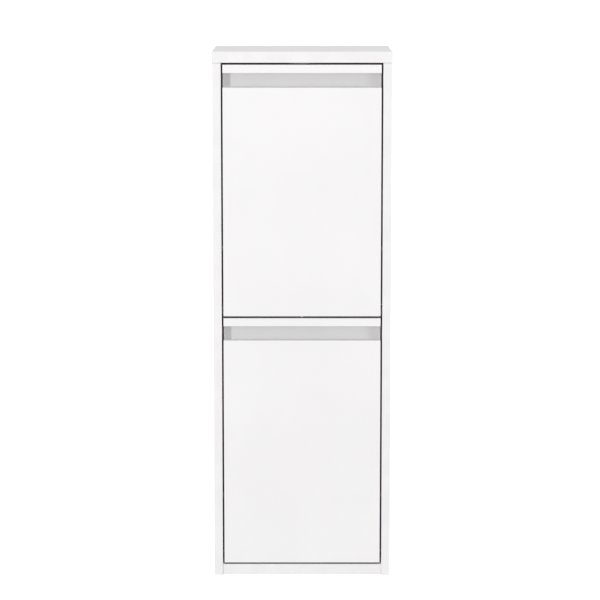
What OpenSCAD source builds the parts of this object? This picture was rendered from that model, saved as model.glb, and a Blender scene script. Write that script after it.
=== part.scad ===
// Slim free-standing shoe cabinet with two tilt-out doors.
// Millimetres, +Z up, the doors face -Y. The origin is on the floor, at the middle of the footprint.

/* [Cabinet] */
// Width over the two side panels
cabinet_w = 375; // [300:5:480]
// Depth from the front of the top panel to the wall
cabinet_d = 290; // [235:5:360]
// Height from the floor to the top surface
cabinet_h = 1118; // [920:2:1350]
// How far the top panel stands out beyond each side panel
top_side_overhang = 1; // [0:0.5:8]
// How far the top panel stands out in front of the side panels
top_front_overhang = 1.5; // [0:0.5:8]
// Height of the bottom panel's underside above the floor
floor_gap = 2; // [1:0.5:10]
// How far the bottom panel's front edge lies behind the side panels' front edges
bottom_setback = 2; // [0:0.5:5]

/* [Boards] */
// Thickness of the side panels
side_t = 18; // [15:1:22]
// Thickness of the top panel
top_t = 23; // [18:1:28]
// Thickness of the bottom panel
bottom_t = 22; // [18:1:28]
// Thickness of the fixed shelf between the compartments
shelf_t = 18; // [15:1:22]
// Thickness of the back panel
back_t = 3; // [2.5:0.5:5]
// Distance from the rear edges to the middle of the back panel
back_inset = 10; // [8:1:20]
// Depth of the groove that holds the back panel
groove_depth = 6; // [4:0.5:8]
// Play of the back panel in its groove, each way
groove_play = 0.1; // [0.1:0.05:0.3]

/* [Doors] */
// Thickness of the door board, which is also the depth of the finger recess
door_t = 18; // [15:1:22]
// Gap between a door and each side panel
side_gap = 3.5; // [2:0.5:4]
// Least clearance between the two doors while they tilt
tilt_clear = 0.9; // [0.3:0.1:2]
// Height of the fixed shelf's underside above the upper door's bottom edge
shelf_lift = 0; // [0:0.1:3]
// Height of the strip above the finger recess
strip_h = 17.5; // [14:0.5:30]
// Height of the finger recess
recess_h = 30; // [24:1:40]
// Thickness of the grip rail behind the recess
rail_t = 16; // [12:1:19]
// How far the grip rail reaches down behind the door board
rail_overlap = 45; // [30:1:70]
// Diameter of the spacer dome under the upper door
buffer_d = 8; // [5:0.5:12]
// Height of the spacer dome
buffer_h = 2; // [0.5:0.1:2.5]

/* [Pivots] */
// Widest opening of a door, in degrees
open_angle = 50; // [35:1:60]
// Diameter of the pivot pin
pin_d = 8; // [6:0.5:10]
// Length of the pin that sits in the door board
pin_hold = 30; // [20:1:45]
// Radial clearance between pin and bush
pin_play = 0.07; // [0.03:0.01:0.1]
// Wall of the bush around the pin
bush_wall = 2; // [1.5:0.5:3]
// Depth of the bush in the side panel
bush_depth = 12; // [8:1:14]
// Width of the bush's flange beyond its barrel
bush_rim = 2.5; // [2:0.5:4]
// Thickness of the bush's flange
bush_rim_t = 1; // [0.6:0.1:1.5]
// Distance from the pivot to the stop peg
peg_reach = 120; // [100:1:150]
// Angle of the stop peg behind the door plane, in degrees
peg_angle = 12; // [10:1:16]
// Diameter of the stop peg
peg_d = 8; // [6:0.5:10]
// Clearance of the peg in its slot, all round
peg_play = 0.3; // [0.2:0.1:0.6]

/* [Shoe insert] */
// Thickness of the shelf boards
board_t = 3; // [2.5:0.5:5]
// Play of a shelf board in its channel, each way
board_play = 0.1; // [0.1:0.05:0.3]
// Thickness of the bracket plate and of its flange
plate_t = 3; // [2:0.5:4]
// Distance from the door's edge to the bracket plate
plate_inset = 4; // [3:0.5:8]
// How far the ribs stand off the bracket plate
rib_h = 9; // [6:1:14]
// Thickness of the ribs
rib_t = 2; // [1.5:0.5:3]
// Width of the bracket's screw flange
flange_w = 24; // [18:1:30]
// Height of the front row's back board
divider_h = 190; // [170:5:230]
// Height of the rear row's floor above the pivot
rear_floor = 96; // [80:2:130]
// Height of the rear row's back board
rear_back_h = 188; // [140:2:220]
// Lean of the back boards away from the door, in degrees
board_lean = 6; // [0:1:10]
// Slope of the floor boards, rising to the rear, in degrees
floor_slope = 5; // [0:1:8]
// Space kept between the insert and the back panel
insert_clear = 6; // [4:1:15]
// Space kept between the insert and the shelf or the bottom panel under it
insert_lift = 3; // [2:1:8]

/* [Fittings] */
// Diameter of the cam locks
cam_d = 15; // [12:1:20]
// Distance from the joint to the middle of a cam lock
cam_reach = 24; // [20:1:34]
// Diameter of the wooden dowels
dowel_d = 8; // [6:1:10]
// Length of the wooden dowels
dowel_l = 30; // [25:1:35]
// Diameter of the wall-screw holes
wall_hole_d = 6; // [5:0.5:8]
// Length of each leg of a wall bracket
bracket_leg = 40; // [30:1:50]
// Height of a wall bracket
bracket_h = 25; // [20:1:35]
// Thickness of the wall bracket's steel
bracket_t = 2; // [1.5:0.5:3]
// Gap between a closed door's strike plate and the magnet
catch_gap = 0.4; // [0.3:0.1:1]

/* [Hidden] */
$fn = 48;

WHITE = [0.96, 0.96, 0.955];
PLASTIC = [0.88, 0.89, 0.9];
HARDBOARD = [0.93, 0.92, 0.9];
STEEL = [0.72, 0.73, 0.75];
ZINC = [0.62, 0.62, 0.6];
BEECH = [0.83, 0.68, 0.47];
DARK = [0.2, 0.2, 0.21];
eps = 0.01;

// Planes of the carcass
inner_w = cabinet_w - 2 * side_t;
front_y = -cabinet_d / 2 + top_front_overhang;
back_y = cabinet_d / 2;
bottom_top_z = floor_gap + bottom_t;
top_under_z = cabinet_h - top_t;
back_front_y = back_y - back_inset - back_t / 2;
groove_w = back_t + 2 * groove_play;
groove_end_play = 0.5;

// Doors. The insert's lowest edge lies bracket_low above the pivot, and clears the shelf under it
bracket_low = -2;
pivot_up = shelf_lift + shelf_t + insert_lift - bracket_low;
door_w = inner_w - 2 * side_gap;

// Spacer dome under the upper door: its distance from the door's face, and the radius of its cap
buffer_inset = 0.5;
dome_r = (buffer_d * buffer_d / 4 + buffer_h * buffer_h) / (2 * buffer_h);

// Gap below each door: its bottom edge or the dome under it dips, and the rail of the door below
// rises, as the doors tilt
door_edge_swing = norm([door_t / 2, pivot_up]);
buffer_swing = norm([door_t / 2 - buffer_inset - buffer_d / 2, pivot_up + buffer_h - dome_r]) + dome_r;
door_dip = max(door_edge_swing, buffer_swing) - pivot_up;
rail_rear_u = door_t / 2 + rail_t;
rail_rise = rail_rear_u * rail_rear_u / (top_under_z - bottom_top_z);
door_gap = ceil(10 * (door_dip + rail_rise + tilt_clear)) / 10;
top_gap = door_gap + shelf_lift;
door_h = (top_under_z - bottom_top_z - top_gap - 2 * door_gap) / 2;
lower_door_z = bottom_top_z + door_gap;
upper_door_z = lower_door_z + door_h + door_gap;
board_h = door_h - strip_h - recess_h;
rail_h = strip_h + recess_h + rail_overlap;
rail_rear_y = front_y + door_t + rail_t;
pivot_y = front_y + door_t / 2;
bush_d = pin_d + 2 * pin_play + 2 * bush_wall;

// Fixed shelf, clear of the rail in front and of the upper door's bottom edge as it swings in
shelf_clear = 4;
shelf_front_y = pivot_y + max(rail_rear_u, door_edge_swing) + shelf_clear;
shelf_z = upper_door_z + shelf_lift;
shelf_mid_z = shelf_z + shelf_t / 2;
bottom_mid_z = floor_gap + bottom_t / 2;

// Shoe insert, in a plane with its origin at the pivot: first the distance behind it, then the height
door_back = door_t / 2;
flange_u = door_back + plate_t;
insert_u = back_front_y - pivot_y - insert_clear;
plate_x = door_w / 2 - plate_inset;
channel_gap = board_t / 2 + board_play;
channel_edge = channel_gap + rib_t;
lean_run = tan(board_lean);
slope_run = tan(floor_slope);
front_floor_v = channel_edge + 2;
row_gap = 1;
board_end_gap = 1;
board_end_play = 0.2;
lean_height = rear_back_h + rear_floor - front_floor_v;
rows_run = insert_u - flange_u - channel_edge - row_gap - lean_height * lean_run;
row_depth = rows_run / (2 - slope_run * lean_run);
divider_foot = [flange_u + row_depth, front_floor_v + row_depth * slope_run];
divider_head = divider_foot + divider_h * [lean_run, 1];
rear_floor_u = divider_foot[0] + (rear_floor - divider_foot[1]) * lean_run + channel_edge + row_gap;
rear_foot = [rear_floor_u + row_depth - channel_edge, rear_floor + row_depth * slope_run];
rear_head = rear_foot + rear_back_h * [lean_run, 1];
floor_end_gap = channel_edge + board_end_gap;

function divider_at(v) = [divider_foot[0] + (v - divider_foot[1]) * lean_run, v];
function rear_back_at(v) = [rear_foot[0] + (v - rear_foot[1]) * lean_run, v];

insert_boards = [
    ["front_row_floor", [flange_u + board_end_gap, front_floor_v],
        [divider_foot[0] - floor_end_gap, divider_foot[1] - (floor_end_gap + board_end_gap) * slope_run]],
    ["row_divider", divider_foot, divider_head],
    ["rear_row_floor", [rear_floor_u, rear_floor],
        [rear_foot[0] - floor_end_gap, rear_foot[1] - floor_end_gap * slope_run]],
    ["rear_row_back", rear_foot, rear_head]
];
flange_screw_low = 16;
flange_screw_v = [flange_screw_low, (flange_screw_low + divider_h) / 2, divider_h];
flange_screw_x = plate_x - plate_t - rib_h - (flange_w - plate_t - rib_h) / 2;

// Outline of the insert's side bracket: its margin beyond the boards, its sloped rear shoulder,
// and the places of its two braces below the heads of the back boards
corner_r = 3;
bracket_margin = 6;
shoulder_w = 0.4 * row_depth;
shoulder_rise = 2;
shoulder_drop = 10;
saddle_w = 4;
brace_drop = [30, 52, 20, 60];
bracket_outline = [
    [door_back, bracket_low],
    [divider_foot[0], bracket_low + row_depth * slope_run / 2],
    [insert_u, rear_foot[1] - channel_edge - bracket_margin],
    [insert_u, rear_head[1] - shoulder_drop],
    [rear_head[0] - shoulder_w, rear_head[1] + shoulder_rise],
    [divider_head[0] - saddle_w, divider_head[1] + bracket_margin],
    [door_back, divider_head[1] + bracket_margin]
];
flange_v = [bracket_low + corner_r, divider_head[1] + corner_r];

// Stop pegs: a shank in the side panel, a collar on its face and the peg itself
peg_shank_d = 6;
peg_shank_l = 12;
peg_collar_d = 12;
peg_collar_t = 1.5;
peg_tip_inset = 0.2;
peg_offset = peg_reach * [0, sin(peg_angle), cos(peg_angle)];

// Pivot pins: the space behind the pin's end in its bush, and the bevel of the end
pin_end_gap = 1.5;
pin_bevel = 0.5;

// Steps of the arc that shapes the spacer dome
dome_steps = 8;

// Joint fittings
cam_slot = 7.4;
cam_wall = 3.5;
cam_recess_depth = 2;
bolt_d = 5;
bolt_head_d = 7;
bolt_grip = 11;
bolt_head_h = 3;
bolt_head_past = 1;
bolt_collar_h = 1.5;
bolt_bore_d = 8;
hole_spare = 1;
cam_edge = 62;
shelf_cam_edge = 32;
dowel_edge = 84;
case_cam_y = [front_y + cam_edge, back_y - cam_edge];
case_dowel_y = [front_y + dowel_edge, back_y - dowel_edge];
shelf_cam_y = [shelf_front_y + shelf_cam_edge, back_front_y - shelf_cam_edge];
shelf_dowel_y = [(shelf_front_y + back_front_y) / 2];

// Cross recesses and screw heads, as shares of the head's width and height
recess_share = 0.55;
recess_arm_share = 0.25;
recess_depth_share = 0.65;
pan_top_share = 0.7;

// Screws
screw_d = 3.5;
screw_head_d = 7;
screw_head_h = 2;
screw_l = 14;
rail_screw_d = 4;
rail_screw_head_d = 8;
rail_screw_head_h = 2.4;
rail_screw_grip = 12;
rail_screw_edge = 40;
rail_screw_x = [-door_w / 2 + rail_screw_edge, 0, door_w / 2 - rail_screw_edge];
rail_screw_z = [rail_overlap / 2, rail_h - strip_h / 2];

// Magnetic catch, measured down from the panel that it hangs under
catch_drop = 11;
catch_w = 30;
catch_h = 17;
catch_depth = 16;
catch_wall = 2;
ear_w = 11;
ear_t = 3;
ear_inset = 2;
catch_screw_head_d = 6;
pole_t = 1.2;
pole_out = 1;
strike_t = 1.2;
strike_w = 44;
strike_h = 11;
strike_hole_x = 15;
strike_screw_d = 3;
strike_screw_l = 11;
strike_screw_head_d = 6;
strike_screw_head_h = 0.8;
strike_y = rail_rear_y;
catch_y = strike_y + strike_t + catch_gap + pole_out;
strike_v = door_h + top_gap - catch_drop;
magnet_h = 6;
magnet_side_play = 0.2;
magnet_rear_play = 0.5;

// Wall bracket: the space above it, and how far its holes lie from the free edges of its legs
bracket_top_gap = 24;
wall_hole_edge = 14;
bracket_screw_edge = [9, 25];
wall_bracket_z = top_under_z - bracket_h / 2 - bracket_top_gap;
wall_hole_x = inner_w / 2 - bracket_leg + wall_hole_edge;
bracket_screw_y = [for (edge = bracket_screw_edge) back_front_y - bracket_leg + edge];

// ---------- shared shapes ----------

module box(low, high) {
    translate(low) cube(high - low);
}

// Extrudes a drawing of depth and height along X, from x0 to x1
module along_x(x0, x1) {
    translate([x0, 0, 0]) rotate([90, 0, 90]) linear_extrude(x1 - x0) children();
}

module rod_x(d, x0, x1) {
    translate([min(x0, x1), 0, 0]) rotate([0, 90, 0]) cylinder(d = d, h = abs(x1 - x0));
}

module rod_y(d, y0, y1) {
    translate([0, y1, 0]) rotate([90, 0, 0]) cylinder(d = d, h = y1 - y0);
}

// A straight bar of thickness t from p to q, drawn flat
module bar(p, q, t) {
    run = q - p;
    translate(p) rotate(atan2(run[1], run[0])) translate([0, -t / 2]) square([norm(run), t]);
}

function unit(v) = v / norm(v);

// The same bar, made longer at both ends
module long_bar(p, q, extra, t) {
    step = unit(q - p) * extra;
    bar(p - step, q + step, t);
}

// The points of a corner b, between a and c, rounded to radius r
function round_corner(a, b, c, r, steps = 5) =
    let (
        to_a = unit(a - b),
        to_c = unit(c - b),
        half = acos(to_a * to_c) / 2,
        centre = b + unit(to_a + to_c) * r / sin(half),
        turn = cross(c - b, a - b) > 0 ? 1 : -1,
        start = b + to_a * r / tan(half) - centre,
        sweep = 180 - 2 * half
    )
    [for (i = [0 : steps])
        let (angle = turn * sweep * i / steps)
        centre + [
            start[0] * cos(angle) - start[1] * sin(angle),
            start[0] * sin(angle) + start[1] * cos(angle)
        ]];

function round_outline(points, r) = [
    for (i = [0 : len(points) - 1])
        let (n = len(points))
        each round_corner(points[(i + n - 1) % n], points[i], points[(i + 1) % n], r)
];

// A cross recess sunk into a head of width head_d whose face is at z = 0, head below
module cross_recess(head_d, depth) {
    half = recess_share * head_d / 2;
    arm = recess_arm_share * half;
    for (a = [0, 90]) rotate([0, 0, a]) box([-half, -arm, -depth], [half, arm, eps]);
}

// Pan-head screw with its head on z = 0 and its shank going down
module pan_screw(d, l, head_d, head_h) {
    difference() {
        union() {
            translate([0, 0, -l]) cylinder(d = d, h = l);
            cylinder(d1 = head_d, d2 = head_d * pan_top_share, h = head_h);
        }
        translate([0, 0, head_h]) cross_recess(head_d, head_h * recess_depth_share);
    }
}

// Countersunk screw with the face of its head on z = 0
module flat_screw(d, l, head_d, head_h) {
    difference() {
        union() {
            translate([0, 0, -l]) cylinder(d = d, h = l);
            translate([0, 0, -head_h]) cylinder(d1 = d, d2 = head_d, h = head_h);
        }
        cross_recess(head_d, head_h * recess_depth_share);
    }
}

// The hole that a flat_screw fills
module flat_screw_hole(d, l, head_d, head_h) {
    translate([0, 0, -l]) cylinder(d = d, h = l + eps);
    translate([0, 0, -head_h]) cylinder(d1 = d, d2 = head_d, h = head_h);
}

// ---------- knock-down joints ----------
// A joint is drawn with its face at z = 0: the cam's board below, the bolt's board above.
// The cam enters its board from +X, cam_x away from the bolt's line.

module at_joints(ys, line) {
    for (side = [-1, 1], y = ys)
        translate([side * line[0], y, line[1]]) mirror([side < 0 ? 1 : 0, 0, 0]) children();
}

module cam_lock(board) {
    h = board / 2 + cam_wall;
    slot = cam_slot / 2;
    translate([board / 2 - h, 0, -cam_reach]) rotate([0, 90, 0])
        difference() {
            cylinder(d = cam_d, h = h);
            box([-cam_d, -slot, cam_wall - slot], [slot, slot, cam_wall + slot]);
            translate([0, 0, h]) cross_recess(cam_d, cam_recess_depth);
        }
}

module cam_hole(board) {
    h = board / 2 + cam_wall;
    translate([board / 2 - h, 0, -cam_reach]) rotate([0, 90, 0]) cylinder(d = cam_d, h = h + eps);
    translate([0, 0, -cam_reach]) cylinder(d = bolt_bore_d, h = cam_reach + eps);
}

module cam_bolt() {
    neck = cam_reach - bolt_head_d / 2;
    difference() {
        union() {
            translate([0, 0, -neck]) cylinder(d = bolt_d, h = neck + bolt_grip);
            translate([0, 0, -cam_reach - bolt_head_past]) cylinder(d = bolt_head_d, h = bolt_head_h);
            translate([0, 0, -bolt_collar_h]) cylinder(d = bolt_head_d, h = bolt_collar_h);
        }
        translate([0, 0, -cam_reach - bolt_head_past]) mirror([0, 0, 1]) cross_recess(bolt_head_d, 1);
    }
}

module bolt_hole() {
    translate([0, 0, -eps]) cylinder(d = bolt_d, h = bolt_grip + eps);
}

module dowel() {
    bevel = 1;
    translate([0, 0, -dowel_l / 2]) {
        cylinder(d1 = dowel_d - 2 * bevel, d2 = dowel_d, h = bevel);
        translate([0, 0, bevel]) cylinder(d = dowel_d, h = dowel_l - 2 * bevel);
        translate([0, 0, dowel_l - bevel]) cylinder(d1 = dowel_d, d2 = dowel_d - 2 * bevel, h = bevel);
    }
}

// Half of a dowel's hole, going down from z = 0
module dowel_hole() {
    translate([0, 0, -dowel_l / 2 - hole_spare]) cylinder(d = dowel_d, h = dowel_l / 2 + hole_spare + eps);
}

// The top panel lies on the side panels: each joint faces up
module at_top_joints(ys) {
    at_joints(ys, [inner_w / 2 + side_t / 2, top_under_z]) mirror([1, 0, 0]) children();
}

// A board between the side panels: each joint faces out, and the cams enter from below
module at_end_joints(ys, mid_z) {
    at_joints(ys, [inner_w / 2, mid_z]) rotate([0, 90, 0]) children();
}

module cam_locks(ys, mid_z, board) {
    color(ZINC) at_end_joints(ys, mid_z) cam_lock(board);
}

module cam_bolts(ys, mid_z) {
    color(STEEL) at_end_joints(ys, mid_z) cam_bolt();
}

module dowels(ys, mid_z) {
    color(BEECH) at_end_joints(ys, mid_z) dowel();
}

// ---------- carcass ----------

module back_groove(low, high) {
    mid_y = back_y - back_inset;
    box([low[0], mid_y - groove_w / 2, low[1]], [high[0], mid_y + groove_w / 2, high[1]]);
}

module top_panel() {
    half_w = cabinet_w / 2 + top_side_overhang;
    color(WHITE) difference() {
        box([-half_w, -cabinet_d / 2, top_under_z], [half_w, back_y, cabinet_h]);
        back_groove(
            [-inner_w / 2 - groove_depth, top_under_z - eps],
            [inner_w / 2 + groove_depth, top_under_z + groove_depth]
        );
        at_top_joints(case_cam_y) bolt_hole();
        at_top_joints(case_dowel_y) mirror([0, 0, 1]) dowel_hole();
        catch_screw_holes(top_under_z);
    }
}

// One side panel, drawn for side = 1 on the right or -1 on the left
module side_panel(side) {
    mirror([side < 0 ? 1 : 0, 0, 0]) color(WHITE) difference() {
        box([inner_w / 2, front_y, 0], [cabinet_w / 2, back_y, top_under_z]);
        back_groove([inner_w / 2 - eps, -eps], [inner_w / 2 + groove_depth, top_under_z + eps]);
        translate([inner_w / 2 + side_t / 2, 0, top_under_z]) mirror([1, 0, 0]) {
            for (y = case_cam_y) translate([0, y, 0]) cam_hole(side_t);
            for (y = case_dowel_y) translate([0, y, 0]) dowel_hole();
        }
        for (line = [[bottom_mid_z, case_cam_y, case_dowel_y], [shelf_mid_z, shelf_cam_y, shelf_dowel_y]])
            translate([inner_w / 2, 0, line[0]]) rotate([0, 90, 0]) {
                for (y = line[1]) translate([0, y, 0]) bolt_hole();
                for (y = line[2]) translate([0, y, 0]) mirror([0, 0, 1]) dowel_hole();
            }
        for (door_z = [lower_door_z, upper_door_z]) translate([inner_w / 2, pivot_y, door_z + pivot_up]) {
            rod_x(bush_d, -eps, bush_depth);
            translate(peg_offset) rod_x(peg_shank_d, -eps, peg_shank_l);
        }
        for (y = bracket_screw_y) translate([inner_w / 2, y, wall_bracket_z]) rod_x(screw_d, -eps, screw_l);
    }
}

module flat_board(y0, y1, z0, t, ys_cam, ys_dowel) {
    difference() {
        box([-inner_w / 2, y0, z0], [inner_w / 2, y1, z0 + t]);
        at_end_joints(ys_cam, z0 + t / 2) cam_hole(t);
        at_end_joints(ys_dowel, z0 + t / 2) dowel_hole();
    }
}

module bottom_panel() {
    color(WHITE) difference() {
        flat_board(front_y + bottom_setback, back_y, floor_gap, bottom_t, case_cam_y, case_dowel_y);
        back_groove(
            [-inner_w / 2 - eps, bottom_top_z - groove_depth],
            [inner_w / 2 + eps, bottom_top_z + eps]
        );
    }
}

module mid_shelf() {
    color(WHITE) difference() {
        flat_board(shelf_front_y, back_front_y - groove_play, shelf_z, shelf_t, shelf_cam_y, shelf_dowel_y);
        catch_screw_holes(shelf_z);
    }
}

module back_panel() {
    in_groove = groove_depth - groove_end_play;
    half_w = inner_w / 2 + in_groove;
    z0 = bottom_top_z - in_groove;
    z1 = top_under_z + in_groove;
    color(HARDBOARD) difference() {
        box([-half_w, back_front_y, z0], [half_w, back_front_y + back_t, z1]);
        for (side = [-1, 1]) translate([side * wall_hole_x, 0, wall_bracket_z])
            rod_y(wall_hole_d, back_front_y - eps, back_front_y + back_t + eps);
    }
}

// ---------- wall brackets ----------

module wall_bracket(side) {
    z0 = wall_bracket_z - bracket_h / 2;
    z1 = wall_bracket_z + bracket_h / 2;
    x1 = inner_w / 2;
    mirror([side < 0 ? 1 : 0, 0, 0]) color(STEEL) difference() {
        union() {
            box([x1 - bracket_t, back_front_y - bracket_leg, z0], [x1, back_front_y, z1]);
            box([x1 - bracket_leg, back_front_y - bracket_t, z0], [x1, back_front_y, z1]);
        }
        for (y = bracket_screw_y) translate([x1, y, wall_bracket_z]) rod_x(screw_d, -bracket_t - eps, eps);
        translate([wall_hole_x, 0, wall_bracket_z])
            rod_y(wall_hole_d, back_front_y - bracket_t - eps, back_front_y + eps);
    }
}

module wall_bracket_screws() {
    color(ZINC) for (side = [-1, 1], y = bracket_screw_y)
        translate([side * (inner_w / 2 - bracket_t), y, wall_bracket_z]) rotate([0, -90 * side, 0])
            pan_screw(screw_d, screw_l + bracket_t, screw_head_d, screw_head_h);
}

// ---------- magnetic catches ----------

module at_catch_screws(under_z) {
    for (side = [-1, 1])
        translate([side * (catch_w / 2 + ear_w / 2), catch_y + catch_depth / 2, under_z]) children();
}

module catch_screw_holes(under_z) {
    at_catch_screws(under_z) translate([0, 0, -eps]) cylinder(d = screw_d, h = screw_l + eps);
}

module catch_housing(under_z) {
    half_ear = catch_w / 2 + ear_w;
    magnet_mid = under_z - catch_drop;
    pocket = magnet_h / 2 + pole_t;
    color(PLASTIC) difference() {
        union() {
            box([-catch_w / 2, catch_y, under_z - catch_h], [catch_w / 2, catch_y + catch_depth, under_z]);
            box(
                [-half_ear, catch_y + ear_inset, under_z - ear_t],
                [half_ear, catch_y + catch_depth - ear_inset, under_z]
            );
        }
        box(
            [-catch_w / 2 + catch_wall, catch_y - eps, magnet_mid - pocket],
            [catch_w / 2 - catch_wall, catch_y + catch_depth - catch_wall, magnet_mid + pocket]
        );
        at_catch_screws(under_z) translate([0, 0, -ear_t - eps]) cylinder(d = screw_d, h = ear_t + 2 * eps);
    }
}

// A magnet block between two steel pole plates that stand out in front
module catch_magnet(under_z) {
    half_w = catch_w / 2 - catch_wall - magnet_side_play;
    rear = catch_y + catch_depth - catch_wall - magnet_rear_play;
    magnet_mid = under_z - catch_drop;
    color(DARK) box([-half_w, catch_y, magnet_mid - magnet_h / 2], [half_w, rear, magnet_mid + magnet_h / 2]);
    color(STEEL) for (side = [-1, 1]) translate([0, 0, magnet_mid + side * (magnet_h / 2 + pole_t / 2)])
        box([-half_w, catch_y - pole_out, -pole_t / 2 + eps], [half_w, rear, pole_t / 2 - eps]);
}

module catch_screws() {
    color(ZINC) for (under_z = [top_under_z, shelf_z]) at_catch_screws(under_z)
        translate([0, 0, -ear_t]) mirror([0, 0, 1])
            pan_screw(screw_d, screw_l + ear_t, catch_screw_head_d, screw_head_h);
}

// ---------- pivots and stops ----------

module at_pivots(door_z) {
    for (side = [-1, 1])
        mirror([side < 0 ? 1 : 0, 0, 0]) translate([inner_w / 2, pivot_y, door_z + pivot_up]) children();
}

module pivot_bushes(door_z) {
    color(PLASTIC) at_pivots(door_z) difference() {
        union() {
            rod_x(bush_d, 0, bush_depth);
            rod_x(bush_d + 2 * bush_rim, -bush_rim_t, 0);
        }
        rod_x(pin_d + 2 * pin_play, -bush_rim_t - eps, bush_depth + eps);
    }
}

module pivot_pins(door_z) {
    straight = bush_depth - pin_end_gap - pin_bevel;
    color(STEEL) at_pivots(door_z) {
        rod_x(pin_d, -side_gap - pin_hold, straight);
        translate([straight, 0, 0]) rotate([0, 90, 0])
            cylinder(d1 = pin_d, d2 = pin_d - 2 * pin_bevel, h = pin_bevel);
    }
}

module stop_pegs(door_z) {
    tip = inner_w / 2 - plate_x + plate_t - peg_tip_inset;
    color(PLASTIC) at_pivots(door_z) translate(peg_offset) {
        rod_x(peg_shank_d, 0, peg_shank_l);
        rod_x(peg_collar_d, -peg_collar_t, 0);
        rod_x(peg_d, -tip, -peg_collar_t);
    }
}

// ---------- doors ----------

module rail_screw_holes(door_z) {
    for (x = rail_screw_x, z = rail_screw_z)
        translate([x, rail_rear_y, door_z + door_h - rail_h + z]) rotate([-90, 0, 0])
            flat_screw_hole(rail_screw_d, rail_t + rail_screw_grip, rail_screw_head_d, rail_screw_head_h);
}

module door_board(door_z) {
    color(WHITE) difference() {
        box([-door_w / 2, front_y, door_z], [door_w / 2, front_y + door_t, door_z + board_h]);
        at_pivots(door_z) rod_x(pin_d, -side_gap - pin_hold, -side_gap + eps);
        rail_screw_holes(door_z);
        bracket_screw_holes(door_z);
    }
}

module top_strip(door_z) {
    color(WHITE) difference() {
        box(
            [-door_w / 2, front_y, door_z + door_h - strip_h],
            [door_w / 2, front_y + door_t, door_z + door_h]
        );
        rail_screw_holes(door_z);
    }
}

module grip_rail(door_z) {
    color(WHITE) difference() {
        box(
            [-door_w / 2, front_y + door_t, door_z + door_h - rail_h],
            [door_w / 2, rail_rear_y, door_z + door_h]
        );
        rail_screw_holes(door_z);
        strike_screw_holes(door_z);
    }
}

module rail_screws(door_z) {
    color(ZINC) for (x = rail_screw_x, z = rail_screw_z)
        translate([x, rail_rear_y, door_z + door_h - rail_h + z]) rotate([-90, 0, 0])
            flat_screw(rail_screw_d, rail_t + rail_screw_grip, rail_screw_head_d, rail_screw_head_h);
}

module at_strike_screws(door_z) {
    for (side = [-1, 1])
        translate([side * strike_hole_x, strike_y + strike_t, door_z + strike_v])
            rotate([-90, 0, 0]) children();
}

module strike_screw_holes(door_z) {
    at_strike_screws(door_z)
        flat_screw_hole(strike_screw_d, strike_screw_l, strike_screw_head_d, strike_screw_head_h);
}

module strike_plate(door_z) {
    mid_z = door_z + strike_v;
    color(STEEL) difference() {
        box(
            [-strike_w / 2, strike_y, mid_z - strike_h / 2],
            [strike_w / 2, strike_y + strike_t, mid_z + strike_h / 2]
        );
        strike_screw_holes(door_z);
    }
}

module strike_screws(door_z) {
    color(ZINC) at_strike_screws(door_z)
        flat_screw(strike_screw_d, strike_screw_l, strike_screw_head_d, strike_screw_head_h);
}

module gap_buffer(door_z) {
    edge_angle = asin(buffer_d / 2 / dome_r);
    arc = [
        for (i = [0 : dome_steps])
            let (a = edge_angle * i / dome_steps)
            [dome_r * sin(a), dome_r * (1 - cos(a)) - buffer_h]
    ];
    color(WHITE) translate([0, front_y + buffer_inset + buffer_d / 2, door_z])
        rotate_extrude() polygon([[0, 0], each arc]);
}

// ---------- shoe insert ----------

module slot_shape() {
    half = peg_d / 2 + peg_play;
    first = peg_angle;
    last = peg_angle + open_angle;
    far = 2 * peg_reach;
    function at(angle, r) = r * [sin(angle), cos(angle)];
    intersection() {
        difference() {
            circle(r = peg_reach + half);
            circle(r = peg_reach - half);
        }
        polygon([[0, 0], at(first, far), at((first + last) / 2, far), at(last, far)]);
    }
    for (angle = [first, last]) translate(at(angle, peg_reach)) circle(r = half);
}

// The ribs around the boards, the rim of the bracket and its two braces
module rib_shape() {
    outline = bracket_outline;
    n = len(outline);
    for (b = insert_boards) long_bar(b[1], b[2], rib_t, 2 * channel_edge);
    for (i = [0 : n - 1]) bar(outline[i], outline[(i + 1) % n], 2 * rib_t);
    top_v = divider_head[1];
    bar([door_back, top_v - brace_drop[0]], divider_at(top_v - brace_drop[1]), rib_t);
    bar(divider_at(top_v - brace_drop[2]), rear_back_at(rear_head[1] - brace_drop[3]), rib_t);
}

module channel_shape() {
    for (b = insert_boards) long_bar(b[1], b[2], board_play, 2 * channel_gap);
}

// The bracket plate with its ribs and flange, for the right-hand side
module bracket(door_z, side) {
    rounded = round_outline(bracket_outline, corner_r);
    mirror([side < 0 ? 1 : 0, 0, 0]) color(PLASTIC) translate([0, pivot_y, door_z + pivot_up]) difference() {
        union() {
            along_x(plate_x - plate_t, plate_x) difference() {
                polygon(rounded);
                slot_shape();
            }
            along_x(plate_x - plate_t - rib_h, plate_x - plate_t) difference() {
                intersection() {
                    polygon(rounded);
                    rib_shape();
                }
                channel_shape();
            }
            box(
                [plate_x - flange_w, door_back, flange_v[0]],
                [plate_x - plate_t, flange_u, flange_v[1]]
            );
        }
        for (v = flange_screw_v)
            translate([flange_screw_x, 0, v]) rod_y(screw_d, door_back - eps, flange_u + eps);
    }
}

module at_flange_screws(door_z) {
    for (side = [-1, 1], v = flange_screw_v)
        translate([side * flange_screw_x, pivot_y + flange_u, door_z + pivot_up + v])
            rotate([-90, 0, 0]) children();
}

module bracket_screw_holes(door_z) {
    at_flange_screws(door_z) translate([0, 0, -screw_l]) cylinder(d = screw_d, h = screw_l);
}

module bracket_screws(door_z) {
    color(ZINC) at_flange_screws(door_z) pan_screw(screw_d, screw_l, screw_head_d, screw_head_h);
}

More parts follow.
